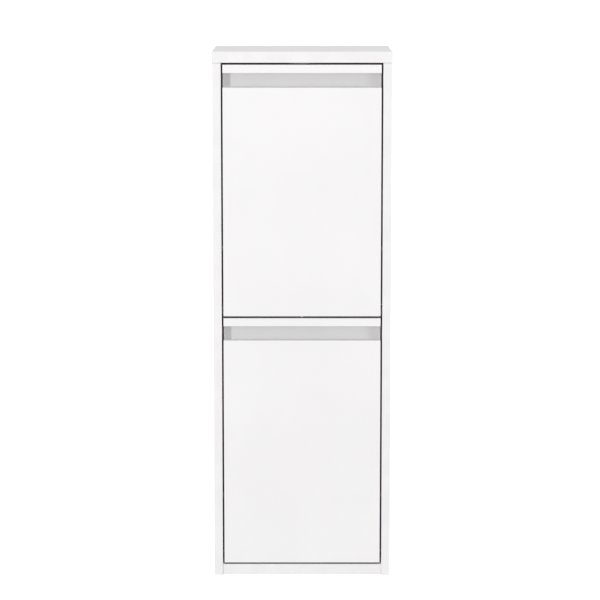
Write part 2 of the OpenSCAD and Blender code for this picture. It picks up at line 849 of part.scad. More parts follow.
module insert_board(door_z, index) {
    half = plate_x - plate_t - board_end_play;
    color(HARDBOARD) translate([0, pivot_y, door_z + pivot_up]) along_x(-half, half)
        bar(insert_boards[index][1], insert_boards[index][2], board_t);
}

// ---------- drawing ----------

top_panel();
side_panel(-1);  // left_side_panel
side_panel(1);  // right_side_panel
bottom_panel();
mid_shelf();
back_panel();
color(ZINC) at_top_joints(case_cam_y) cam_lock(side_t);  // top_cam_locks
color(STEEL) at_top_joints(case_cam_y) cam_bolt();  // top_cam_bolts
color(BEECH) at_top_joints(case_dowel_y) dowel();  // top_dowels
cam_locks(shelf_cam_y, shelf_mid_z, shelf_t);  // shelf_cam_locks
cam_bolts(shelf_cam_y, shelf_mid_z);  // shelf_cam_bolts
dowels(shelf_dowel_y, shelf_mid_z);  // shelf_dowels
cam_locks(case_cam_y, bottom_mid_z, bottom_t);  // bottom_cam_locks
cam_bolts(case_cam_y, bottom_mid_z);  // bottom_cam_bolts
dowels(case_dowel_y, bottom_mid_z);  // bottom_dowels
wall_bracket(-1);  // left_wall_bracket
wall_bracket(1);  // right_wall_bracket
wall_bracket_screws();
catch_housing(top_under_z);  // upper_catch_housing
catch_magnet(top_under_z);  // upper_catch_magnet
catch_housing(shelf_z);  // lower_catch_housing
catch_magnet(shelf_z);  // lower_catch_magnet
catch_screws();
for (flap = [["upper", upper_door_z], ["lower", lower_door_z]]) {
    name = str(flap[0], "_");
    z = flap[1];
    pivot_bushes(z);
    stop_pegs(z);
    door_board(z);
    top_strip(z);
    grip_rail(z);
    bracket(z, -1);
    bracket(z, 1);
    for (i = [0 : len(insert_boards) - 1])
        insert_board(z, i);
    pivot_pins(z);
    bracket_screws(z);
    rail_screws(z);
    strike_plate(z);
    strike_screws(z);
}
gap_buffer(upper_door_z);  // upper_gap_buffer
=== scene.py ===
"""The looks of a slim shoe cabinet with two tilt-out doors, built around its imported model."""

import logging
import math
from dataclasses import dataclass, field
from enum import Enum
from typing import Callable, ClassVar, Iterable

import bmesh
import bpy
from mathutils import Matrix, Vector


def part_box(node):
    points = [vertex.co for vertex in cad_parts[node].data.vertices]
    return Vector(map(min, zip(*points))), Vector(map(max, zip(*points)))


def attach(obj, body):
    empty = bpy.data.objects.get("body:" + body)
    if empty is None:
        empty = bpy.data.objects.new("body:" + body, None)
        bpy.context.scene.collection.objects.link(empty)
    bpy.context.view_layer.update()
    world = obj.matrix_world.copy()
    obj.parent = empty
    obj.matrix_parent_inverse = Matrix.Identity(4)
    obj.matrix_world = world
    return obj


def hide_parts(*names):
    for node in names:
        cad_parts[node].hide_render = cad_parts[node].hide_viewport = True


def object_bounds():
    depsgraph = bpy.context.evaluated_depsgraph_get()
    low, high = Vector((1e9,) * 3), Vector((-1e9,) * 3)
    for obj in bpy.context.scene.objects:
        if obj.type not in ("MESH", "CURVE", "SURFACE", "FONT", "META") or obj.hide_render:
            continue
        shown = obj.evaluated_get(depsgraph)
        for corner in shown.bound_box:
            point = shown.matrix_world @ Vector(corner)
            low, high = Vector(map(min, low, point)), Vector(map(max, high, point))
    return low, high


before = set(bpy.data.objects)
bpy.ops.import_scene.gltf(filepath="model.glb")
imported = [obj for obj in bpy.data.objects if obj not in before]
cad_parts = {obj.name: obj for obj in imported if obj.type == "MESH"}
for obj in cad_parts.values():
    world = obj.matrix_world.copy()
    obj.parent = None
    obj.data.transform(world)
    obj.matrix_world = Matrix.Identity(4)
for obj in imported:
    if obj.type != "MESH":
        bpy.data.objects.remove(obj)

MODEL_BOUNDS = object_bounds()
MM = 0.001
# Two points closer than this count as touching, and closer than WELD they become one
TOUCH = 0.02 * MM
WELD = 0.002 * MM
# Cosine above which two directions count as the same, and the stricter one for a flat face
ALIGNED = 0.999
SQUARE_ON = 0.9999
# Angle below which neighbouring faces are one flat face
FLAT = math.radians(0.4)
# Degrees above which the edges of a fitting and of a sheet are rounded
FITTING_EDGE = 40
SHEET_EDGE = 60
# Heights of the screws' heads
PAN_HEIGHT = 2 * MM
RAIL_HEAD_HEIGHT = 2.4 * MM
STRIKE_HEAD_HEIGHT = 0.8 * MM
log = logging.getLogger("shoe_cabinet")

Colour = tuple[float, float, float]
Box = tuple[Vector, Vector]


class Body(Enum):
    """The rigid bodies that pieces ride on."""

    CABINET = "cabinet"
    UPPER = "upper_flap"
    LOWER = "lower_flap"


class Slot(Enum):
    """Labels for kinds of material; each fitting is given one."""

    BOARD = "white_board"
    HARDBOARD = "white_hardboard"
    PLASTIC = "white_plastic"
    STEEL = "plated_steel"
    ZINC = "zinc_fittings"
    BEECH = "beech_dowel"
    MAGNET = "magnet"
    BUFFER = "buffer"


class Side(Enum):
    """The outer sides of a board's box, as an axis and a direction along it."""

    LEFT = (0, -1)
    RIGHT = (0, 1)
    FRONT = (1, -1)
    REAR = (1, 1)
    BOTTOM = (2, -1)
    TOP = (2, 1)


class ScrewHead(Enum):
    """The two shapes of screw head."""

    PAN = "pan"
    FLAT = "flat"


# ---------- node trees ----------


class Wire:
    """An output socket. Arithmetic on it adds Math nodes to its tree."""

    def __init__(self, bench: "Bench", socket: bpy.types.NodeSocket) -> None:
        """Keeps the tree and the socket.

        Args:
            bench: the tree that the socket is in.
            socket: the output socket.
        """
        self.bench = bench
        self.socket = socket

    def other(self, out: int | str) -> "Wire":
        """Another output of the same node."""
        return Wire(self.bench, self.socket.node.outputs[out])

    def _math(self, operation: str, *values: "Wire | float") -> "Wire":
        """A Math node on the values, in order."""
        return self.bench.node("ShaderNodeMath", {"operation": operation}, dict(enumerate(values)))

    def __add__(self, other: "Wire | float") -> "Wire":
        """The sum."""
        return self._math("ADD", self, other)

    def __radd__(self, other: float) -> "Wire":
        """The sum, from the right."""
        return self._math("ADD", other, self)

    def __sub__(self, other: "Wire | float") -> "Wire":
        """The difference."""
        return self._math("SUBTRACT", self, other)

    def __rsub__(self, other: float) -> "Wire":
        """The difference, from the right."""
        return self._math("SUBTRACT", other, self)

    def __mul__(self, other: "Wire | float") -> "Wire":
        """The product."""
        return self._math("MULTIPLY", self, other)

    def __rmul__(self, other: float) -> "Wire":
        """The product, from the right."""
        return self._math("MULTIPLY", other, self)

    def __truediv__(self, other: "Wire | float") -> "Wire":
        """The quotient."""
        return self._math("DIVIDE", self, other)

    def __pow__(self, other: float) -> "Wire":
        """The power."""
        return self._math("POWER", self, other)

    def __abs__(self) -> "Wire":
        """The size without its sign."""
        return self._math("ABSOLUTE", self)

    def at_least(self, low: "Wire | float") -> "Wire":
        """The larger of this and low."""
        return self._math("MAXIMUM", self, low)

    def at_most(self, high: "Wire | float") -> "Wire":
        """The smaller of this and high."""
        return self._math("MINIMUM", self, high)

    def fraction(self) -> "Wire":
        """What is left past the whole number."""
        return self._math("FRACT", self)

    def cosine(self) -> "Wire":
        """The cosine of an angle in radians."""
        return self._math("COSINE", self)

    def angle_to(self, other: "Wire") -> "Wire":
        """The angle in radians of the point that has this as its X and other as its Y."""
        return self._math("ARCTAN2", other, self)

    def step(self, low: float, high: float) -> "Wire":
        """0 below low, 1 above high, and smooth between."""
        settings = {"interpolation_type": "SMOOTHSTEP"}
        return self.bench.node("ShaderNodeMapRange", settings, {0: self, 1: low, 2: high})


class Bench:
    """A node tree, and the ways to put nodes in it."""

    def __init__(self, tree: bpy.types.NodeTree) -> None:
        """Keeps the tree.

        Args:
            tree: a shader or geometry node tree.
        """
        self.tree = tree

    def node(
        self,
        kind: str,
        settings: dict[str, object] | None = None,
        inputs: dict[int | str, object] | None = None,
        out: int | str = 0,
    ) -> Wire:
        """Adds a node.

        Args:
            kind: the node's type.
            settings: its own properties, which are set first.
            inputs: a value, a wire or a list of wires for each input socket.
            out: the output that is returned.

        Returns:
            The chosen output.
        """
        made = self.tree.nodes.new(kind)
        for name, value in (settings or {}).items():
            setattr(made, name, value)
        for key, value in (inputs or {}).items():
            for one in value if isinstance(value, list) else [value]:
                if isinstance(one, Wire):
                    self.tree.links.new(one.socket, made.inputs[key])
                else:
                    made.inputs[key].default_value = one
        return Wire(self, made.outputs[out] if made.outputs else None)

    def place(self, stretch: tuple[float, float, float] = (1, 1, 1)) -> Wire:
        """Object coordinates, stretched along the axes."""
        spot = self.node("ShaderNodeTexCoord", out="Object")
        return self.node("ShaderNodeMapping", None, {"Vector": spot, "Scale": stretch})

    def noise(self, place: Wire, scale: float, detail: float = 2.0) -> Wire:
        """Noise at a place, with scale in features per metre."""
        inputs = {"Vector": place, "Scale": scale, "Detail": detail}
        return self.node("ShaderNodeTexNoise", None, inputs)

    def cells(self, place: Wire, scale: float, out: str = "Distance") -> Wire:
        """Voronoi cells at a place, with scale in cells per metre."""
        return self.node("ShaderNodeTexVoronoi", None, {"Vector": place, "Scale": scale}, out)

    def mix(self, factor: Wire | float, first: "Wire | Colour", second: "Wire | Colour") -> Wire:
        """A colour between two others.

        Args:
            factor: 0 for the first colour, 1 for the second.
            first: a colour or a wire.
            second: a colour or a wire.

        Returns:
            The mixed colour.
        """
        ends = [c if isinstance(c, Wire) else (*c, 1.0) for c in (first, second)]
        inputs = {0: factor, 6: ends[0], 7: ends[1]}
        return self.node("ShaderNodeMix", {"data_type": "RGBA"}, inputs, 2)

    def bump(self, height: Wire, depth: float, strength: float = 1.0) -> Wire:
        """A normal from a height between 0 and 1, with depth in metres."""
        return self.node("ShaderNodeBump", None, {"Strength": strength, "Distance": depth, "Height": height})


# ---------- finishes ----------


@dataclass(frozen=True)
class Finish:
    """A surface finish. A kind of finish overrides paint()."""

    name: str
    colour: Colour
    roughness: float = 0.4
    _made: ClassVar[dict[str, bpy.types.Material]] = {}

    def material(self) -> bpy.types.Material:
        """The finish's material, made once.

        Returns:
            The material, which every piece with this finish shares.
        """
        if self.name not in Finish._made:
            made = bpy.data.materials.new(self.name)
            made.use_nodes = True
            made.diffuse_color = (*self.colour, 1.0)
            shader = made.node_tree.nodes["Principled BSDF"]
            self.paint(Bench(made.node_tree), shader)
            Finish._made[self.name] = made
        return Finish._made[self.name]

    def paint(self, bench: Bench, shader: bpy.types.ShaderNode) -> None:
        """Adds the finish's nodes.

        Args:
            bench: the material's node tree.
            shader: its Principled BSDF.
        """
        raise NotImplementedError

    def tone(self, share: float) -> Colour:
        """The finish's colour, darker or lighter by a share."""
        return tuple(share * c for c in self.colour)

    @staticmethod
    def dress(bench: Bench, shader: bpy.types.ShaderNode, sockets: dict[str, object]) -> None:
        """Sets or links sockets of the shader.

        Args:
            bench: the material's node tree.
            shader: its Principled BSDF.
            sockets: a value or a wire for each named socket.
        """
        for name, value in sockets.items():
            if isinstance(value, Wire):
                bench.tree.links.new(value.socket, shader.inputs[name])
            else:
                shader.inputs[name].default_value = value


@dataclass(frozen=True)
class Laminate(Finish):
    """Melamine paper pressed on a board: near-white, satin, with a fine peel and faint clouding."""

    peel: float = 900.0
    peel_depth: float = 0.012 * MM

    def paint(self, bench: Bench, shader: bpy.types.ShaderNode) -> None:
        """Clouded white, with the peel as a bump.

        Args:
            bench: the material's node tree.
            shader: its Principled BSDF.
        """
        place = bench.place()
        cloud = bench.noise(place, 5.0, 3.0)
        peel = bench.noise(place, self.peel, 2.0)
        speck = bench.cells(place, 260.0).step(0.015, 0.05)
        white = bench.mix(cloud.step(0.35, 0.65), self.tone(0.978), self.colour)
        self.dress(bench, shader, {
            "Base Color": bench.mix(speck, self.tone(0.95), white),
            "Roughness": self.roughness + 0.10 * (cloud - 0.5) + 0.08 * (peel - 0.5),
            "Normal": bench.bump(peel, self.peel_depth),
        })


@dataclass(frozen=True)
class EdgeBand(Finish):
    """Plastic edge band: the board's tone, a little glossier, with fine scraper lines along it."""

    def paint(self, bench: Bench, shader: bpy.types.ShaderNode) -> None:
        """Even white with fine lines.

        Args:
            bench: the material's node tree.
            shader: its Principled BSDF.
        """
        lines = bench.noise(bench.place((40, 1400, 12)), 1.0, 2.0)
        cloud = bench.noise(bench.place(), 30.0, 2.0)
        self.dress(bench, shader, {
            "Base Color": bench.mix(cloud.step(0.3, 0.7), self.tone(0.965), self.colour),
            "Roughness": self.roughness + 0.12 * (lines - 0.5),
            "Normal": bench.bump(lines, 0.006 * MM),
        })


@dataclass(frozen=True)
class Chipboard(Finish):
    """The bare core of a board: pressed chips in tan and brown."""

    chips: float = 420.0

    def paint(self, bench: Bench, shader: bpy.types.ShaderNode) -> None:
        """Flat chips of several tones, with dark pores between them.

        Args:
            bench: the material's node tree.
            shader: its Principled BSDF.
        """
        place = bench.place((1, 1, 1.8))
        chip = bench.cells(place, self.chips, "Color")
        shade = bench.node("ShaderNodeSeparateColor", None, {0: chip})
        gap = bench.cells(place, self.chips)
        pores = bench.noise(place, 1100.0, 3.0)
        wood = bench.mix(shade, self.tone(0.62), self.tone(1.25))
        self.dress(bench, shader, {
            "Base Color": bench.mix(pores.step(0.62, 0.74), wood, self.tone(0.4)),
            "Roughness": self.roughness + 0.1 * (pores - 0.5),
            "Normal": bench.bump(gap * 0.6 + pores * 0.4, 0.25 * MM),
        })


@dataclass(frozen=True)
class PaintedSheet(Finish):
    """White lacquer rolled on hardboard."""

    def paint(self, bench: Bench, shader: bpy.types.ShaderNode) -> None:
        """Soft clouding and the roller's stipple.

        Args:
            bench: the material's node tree.
            shader: its Principled BSDF.
        """
        place = bench.place()
        cloud = bench.noise(place, 9.0, 4.0)
        stipple = bench.noise(place, 620.0, 3.0)
        self.dress(bench, shader, {
            "Base Color": bench.mix(cloud.step(0.3, 0.7), self.tone(0.95), self.colour),
            "Roughness": self.roughness + 0.12 * (stipple - 0.5),
            "Normal": bench.bump(stipple, 0.03 * MM),
        })


@dataclass(frozen=True)
class Fibreboard(Finish):
    """The bare side of hardboard: brown fibres under the print of the press's wire mesh."""

    mesh_pitch: float = 1.6 * MM

    def paint(self, bench: Bench, shader: bpy.types.ShaderNode) -> None:
        """Short fibres, and a woven grid of dimples.

        Args:
            bench: the material's node tree.
            shader: its Principled BSDF.
        """
        spot = bench.node("ShaderNodeTexCoord", out="Object")
        turn = {"Vector": spot, "Rotation": (0, math.radians(2), 0)}
        axes = bench.node("ShaderNodeSeparateXYZ", None, {0: bench.node("ShaderNodeMapping", None, turn)})
        pace = math.tau / self.mesh_pitch
        dimples = (axes * pace).cosine() * (axes.other(2) * pace).cosine() * 0.5 + 0.5
        fibre = bench.noise(bench.place((900, 900, 160)), 1.0, 4.0)
        cross = bench.noise(bench.place((170, 900, 950)), 1.0, 4.0)
        cloud = bench.noise(bench.place(), 14.0, 4.0)
        strands = bench.mix((fibre * 0.5 + cross * 0.5).step(0.35, 0.65), self.tone(0.68), self.tone(1.3))
        self.dress(bench, shader, {
            "Base Color": bench.mix(cloud.step(0.35, 0.7) * 0.5, strands, self.colour),
            "Roughness": self.roughness + 0.15 * (fibre - 0.5),
            "Normal": bench.bump(dimples * 0.7 + cross * 0.3, 0.12 * MM),
        })


@dataclass(frozen=True)
class Moulding(Finish):
    """Moulded plastic with the fine spark grain of its tool."""

    grain: float = 1500.0

    def paint(self, bench: Bench, shader: bpy.types.ShaderNode) -> None:
        """Spark grain, and faint flow marks.

        Args:
            bench: the material's node tree.
            shader: its Principled BSDF.
        """
        place = bench.place()
        spark = bench.noise(place, self.grain, 3.0)
        flow = bench.node("ShaderNodeTexNoise", None, {"Vector": place, "Scale": 16.0, "Distortion": 1.5})
        self.dress(bench, shader, {
            "Base Color": bench.mix(flow.step(0.3, 0.7), self.tone(0.93), self.colour),
            "Roughness": self.roughness + 0.18 * (spark - 0.5) + 0.08 * (flow - 0.5),
            "Normal": bench.bump(spark, 0.02 * MM),
            "IOR": 1.5,
        })


@dataclass(frozen=True)
class Metal(Finish):
    """Plated or cast metal."""

    streaks: tuple[float, float, float] = (60, 60, 1200)
    spangle: float = 0.0
    depth: float = 0.01 * MM

    def paint(self, bench: Bench, shader: bpy.types.ShaderNode) -> None:
        """Rolling streaks or casting grain, and a slightly uneven plating.

        Args:
            bench: the material's node tree.
            shader: its Principled BSDF.
        """
        streak = bench.noise(bench.place(self.streaks), 1.0, 3.0)
        stain = bench.noise(bench.place(), 90.0, 3.0)
        warm = (self.colour[0] * 0.92, self.colour[1] * 0.86, self.colour[2] * 0.74)
        tint = bench.mix(stain.step(0.45, 0.8) * 0.5, self.colour, warm)
        if self.spangle:
            patch = bench.cells(bench.place(), self.spangle, "Color")
            shade = bench.node("ShaderNodeSeparateColor", None, {0: patch})
            tint = bench.mix(shade * 0.25, tint, self.tone(0.75))
        self.dress(bench, shader, {
            "Base Color": tint,
            "Metallic": 1.0,
            "Roughness": self.roughness + 0.22 * (streak - 0.5) + 0.15 * (stain - 0.5),
            "Normal": bench.bump(streak, self.depth),
        })


@dataclass(frozen=True)
class Beech(Finish):
    """Unfinished beech with its short dark rays."""

    def paint(self, bench: Bench, shader: bpy.types.ShaderNode) -> None:
        """Straight grain with flecks.

        Args:
            bench: the material's node tree.
            shader: its Principled BSDF.
        """
        grain = bench.noise(bench.place((700, 700, 45)), 1.0, 4.0)
        ray = bench.noise(bench.place((1500, 1500, 240)), 1.0, 1.0).step(0.62, 0.70)
        wood = bench.mix(grain.step(0.3, 0.7), self.tone(0.72), self.colour)
        self.dress(bench, shader, {
            "Base Color": bench.mix(ray, wood, self.tone(0.5)),
            "Roughness": self.roughness + 0.15 * (grain - 0.5),
            "Normal": bench.bump(grain, 0.05 * MM),
        })


@dataclass(frozen=True)
class Ferrite(Finish):
    """Pressed ceramic magnet: near-black and finely granular."""

    def paint(self, bench: Bench, shader: bpy.types.ShaderNode) -> None:
        """Granules with a faint sparkle, painted into the colour as light specks.

        Args:
            bench: the material's node tree.
            shader: its Principled BSDF.
        """
        place = bench.place()
        grit = bench.noise(place, 2600.0, 3.0)
        # spark marks specks of painted glint, lighter than the ferrite round them.
        spark = bench.cells(place, 2000.0).step(0.02, 0.06)
        self.dress(bench, shader, {
            "Base Color": bench.mix(spark, self.tone(4.0), self.colour),
            "Roughness": self.roughness + 0.3 * (grit - 0.5),
            "Normal": bench.bump(grit, 0.05 * MM),
        })


@dataclass(frozen=True)
class StudioFloor(Finish):
    """A pale floor, lit from below a little so that it runs out into the white round it."""

    glow: float = 0.62

    def paint(self, bench: Bench, shader: bpy.types.ShaderNode) -> None:
        """Almost even white with the faintest clouding.

        Args:
            bench: the material's node tree.
            shader: its Principled BSDF.
        """
        cloud = bench.noise(bench.place(), 1.5, 3.0)
        self.dress(bench, shader, {
            "Base Color": bench.mix(cloud, self.tone(0.985), self.colour),
            "Roughness": self.roughness + 0.05 * (cloud - 0.5),
            "Specular IOR Level": 0.1,
            "Emission Color": (1.0, 1.0, 1.0, 1.0),
            "Emission Strength": self.glow,
        })


@dataclass(frozen=True)
class StudioGlow(Finish):
    """Plain white that shines evenly."""

    glow: float = 1.02

    def paint(self, bench: Bench, shader: bpy.types.ShaderNode) -> None:
        """White light and no reflection.

        Args:
            bench: the material's node tree.
            shader: its Principled BSDF.
        """
        self.dress(bench, shader, {
            "Base Color": (0.0, 0.0, 0.0, 1.0),
            "Specular IOR Level": 0.0,
            "Emission Color": (*self.colour, 1.0),
            "Emission Strength": self.glow,
        })


LAMINATE = Laminate("white_laminate", (0.862, 0.850, 0.856), 0.42)
# The grip rail's laminate is greyer than the other boards as painted shade: the rail sits at the back of the
# door's recess.
RECESS_SHADE_LAMINATE = Laminate("laminate_with_painted_recess_shade", (0.79, 0.78, 0.785), 0.45)
BAND = EdgeBand("white_edge_band", (0.855, 0.843, 0.849), 0.36)
# The door boards' edge bands are grey as painted shade: they line the gaps between the doors and round them,
# where shade falls.
GAP_SHADE_BAND = EdgeBand("edge_band_with_painted_gap_shade", (0.60, 0.595, 0.60), 0.42)
CORE = Chipboard("bare_chipboard", (0.62, 0.44, 0.27), 0.88)
LACQUER = PaintedSheet("lacquered_hardboard", (0.83, 0.825, 0.82), 0.5)
FIBRE = Fibreboard("bare_hardboard", (0.36, 0.225, 0.125), 0.85)
NYLON = Moulding("white_moulding", (0.80, 0.81, 0.815), 0.42)
BUSH = Moulding("charcoal_nylon", (0.035, 0.036, 0.04), 0.45, grain=1100.0)
DOME = Moulding("soft_white_dome", (0.90, 0.895, 0.885), 0.30, grain=800.0)
STEEL = Metal("zinc_plated_steel", (0.62, 0.63, 0.65), 0.34, spangle=240.0)
BRIGHT = Metal("bright_steel", (0.66, 0.66, 0.67), 0.24, streaks=(1500, 60, 60))
BLACKENED = Metal("blackened_steel", (0.10, 0.10, 0.105), 0.38, streaks=(1500, 60, 60))
CAST = Metal("die_cast_zinc", (0.52, 0.52, 0.51), 0.48, streaks=(700, 700, 700), depth=0.05 * MM)
SCREW = Metal("yellow_zinc_screw", (0.66, 0.60, 0.47), 0.32, streaks=(400, 400, 400))
WOOD = Beech("beech", (0.70, 0.51, 0.33), 0.7)
MAGNET = Ferrite("ferrite", (0.045, 0.045, 0.05), 0.6)
GLOW = StudioGlow("studio_glow", (1.0, 1.0, 1.0))
FLOOR = StudioFloor("pale_floor", (0.93, 0.93, 0.93), 0.7)


# ---------- meshes ----------


def cad_copy(node: str) -> bmesh.types.BMesh:
    """A merged copy of a CAD node's mesh, with its flat faces whole.

    Args:
        node: the CAD node's name.

    Returns:
        The copy, which the caller frees.
    """
    shape = bmesh.new()
    shape.from_mesh(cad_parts[node].data)
    bmesh.ops.remove_doubles(shape, verts=shape.verts, dist=WELD)
    bmesh.ops.dissolve_limit(
        shape, angle_limit=FLAT, use_dissolve_boundaries=False,
        verts=shape.verts, edges=shape.edges, delimit={"NORMAL"},
    )
    return shape


def soften(
    shape: bmesh.types.BMesh, width: float, segments: int, chosen: Callable[[bmesh.types.BMEdge], bool]
) -> None:
    """Rounds the chosen edges.

    Args:
        shape: the mesh, changed in place.
        width: how far the rounding reaches from each edge, in metres.
        segments: how many faces each rounding has.
        chosen: says whether an edge is rounded.
    """
    edges = [edge for edge in shape.edges if chosen(edge)]
    made = bmesh.ops.bevel(
        shape, geom=edges, offset=width, offset_type="OFFSET", segments=segments, profile=0.5,
        affect="EDGES", clamp_overlap=False, material=-1, miter_outer="ARC",
    )
    for face in made["faces"]:
        face.smooth = True
    bmesh.ops.remove_doubles(shape, verts=shape.verts, dist=WELD)


def sharper_than(degrees: float) -> Callable[[bmesh.types.BMEdge], bool]:
    """Chooses edges whose faces meet at more than an angle, in degrees."""
    limit = math.radians(degrees)
    return lambda edge: edge.is_manifold and edge.calc_face_angle(0.0) > limit


def box_of(points: Iterable[Vector]) -> Box:
    """The box round some points.

    Args:
        points: one point or more.

    Returns:
        The lowest and the highest corner.
    """
    listed = list(points)
    low = Vector(min(p[axis] for p in listed) for axis in range(3))
    high = Vector(max(p[axis] for p in listed) for axis in range(3))
    return low, high


def solids_of(node: str) -> list[Box]:
    """The box of each separate solid in a CAD node.

    Args:
        node: the CAD node's name.

    Returns:
        The boxes, in order of their lowest corners.
    """
    shape = cad_copy(node)
    left = set(shape.verts)
    boxes = []
    while left:
        front = [left.pop()]
        island = list(front)
        while front:
            vert = front.pop()
            linked = {edge.other_vert(vert) for edge in vert.link_edges} & left
            left -= linked
            front.extend(linked)
            island.extend(linked)
        boxes.append(box_of(vert.co for vert in island))
    shape.free()
    return sorted(boxes, key=lambda box: tuple(round(c, 5) for c in box[0]))


def stand_in(mesh: bpy.types.Mesh, node: str, body: Body) -> bpy.types.Object:
    """Puts a finished mesh in the scene in place of a CAD node.

    Args:
        mesh: the finished mesh, in the model's frame.
        node: the CAD node that it stands for.
        body: the body that it rides on.

    Returns:
        The new object.
    """
    piece = bpy.data.objects.new(f"finished_{node}", mesh)
    bpy.context.scene.collection.objects.link(piece)
    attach(piece, body.value)
    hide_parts(node)
    log.info("%s: %d faces, rides on %s", piece.name, len(mesh.polygons), body.value)
    return piece


def to_mesh(shape: bmesh.types.BMesh, name: str, finishes: Iterable[Finish]) -> bpy.types.Mesh:
    """Turns a bmesh into a mesh with its finishes.

    Args:
        shape: the bmesh, which is freed.
        name: the mesh's name.
        finishes: its finishes, in the order of its faces' material indices.

    Returns:
        The mesh.
    """
    mesh = bpy.data.meshes.new(name)
    shape.to_mesh(mesh)
    shape.free()
    for finish in finishes:
        mesh.materials.append(finish.material())
    return mesh


@dataclass
class Board:
    """A laminated board: two laminated faces, banded edges with a soft corner, and a bare core elsewhere."""

    node: str
    body: Body
    wide_axis: int
    banded: tuple[Side, ...]
    corner: float = 0.9 * MM
    segments: int = 4
    face: Finish = LAMINATE
    band: Finish = BAND

    def build(self) -> bpy.types.Object:
        """Makes the board from its CAD node.

        Returns:
            The board's object.
        """
        shape = cad_copy(self.node)
        low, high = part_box(self.node)
        ends = (low, high)

        def on_side(point: Vector, side: Side, reach: float) -> bool:
            """Says whether a point is within reach of a side of the board's box."""
            axis, way = side.value
            return abs(point[axis] - ends[way > 0][axis]) < reach

        def is_corner(edge: bmesh.types.BMEdge) -> bool:
            """Chooses the outer edges that have a band beside them."""
            sides = [s for s in Side if all(on_side(v.co, s, TOUCH) for v in edge.verts)]
            return len(sides) > 1 and any(s in self.banded for s in sides)

        soften(shape, self.corner, self.segments, is_corner)
        for face in shape.faces:
            middle = face.calc_center_median()
            wide = abs(face.normal[self.wide_axis]) > ALIGNED
            outer = any(on_side(middle, s, TOUCH) for s in Side if s.value[0] == self.wide_axis)
            if wide and outer:
                face.material_index = 0
            elif any(on_side(middle, s, self.corner + TOUCH) for s in self.banded):
                face.material_index = 1
            else:
                face.material_index = 2
        mesh = to_mesh(shape, self.node, (self.face, self.band, CORE))
        return stand_in(mesh, self.node, self.body)


@dataclass
class Sheet:
    """A hardboard sheet: lacquered on one or both faces, with bare edges."""

    node: str
    body: Body
    bare_rear: bool = False
    corner: float = 0.25 * MM

    def build(self) -> bpy.types.Object:
        """Makes the sheet from its CAD node.

        Returns:
            The sheet's object.
        """
        shape = cad_copy(self.node)
        soften(shape, self.corner, 2, sharper_than(SHEET_EDGE))
        across = max(shape.faces, key=lambda face: face.calc_area()).normal.copy()
        for face in shape.faces:
            wide = abs(face.normal.dot(across)) > ALIGNED
            bare = self.bare_rear and face.normal.y > 0
            face.material_index = 0 if wide and not bare else 1
        mesh = to_mesh(shape, self.node, (LACQUER, FIBRE))
        return stand_in(mesh, self.node, self.body)


@dataclass
class Fitting:
    """A moulded or metal fitting with its edges softened."""

    node: str
    body: Body
    finish: Finish
    slot: Slot
    corner: float = 0.25 * MM
    segments: int = 2
    sharp: float = math.radians(32)

    def build(self) -> bpy.types.Object:
        """Makes the fitting from its CAD node.

        Returns:
            The fitting's object.
        """
        shape = cad_copy(self.node)
        for face in shape.faces:
            face.smooth = all(abs(c) < SQUARE_ON for c in face.normal)
        soften(shape, self.corner, self.segments, sharper_than(FITTING_EDGE))
        mesh = to_mesh(shape, self.node, (self.finish,))
        mesh.set_sharp_from_angle(angle=self.sharp)
        return stand_in(mesh, self.node, self.body)


# ---------- repeated fasteners ----------


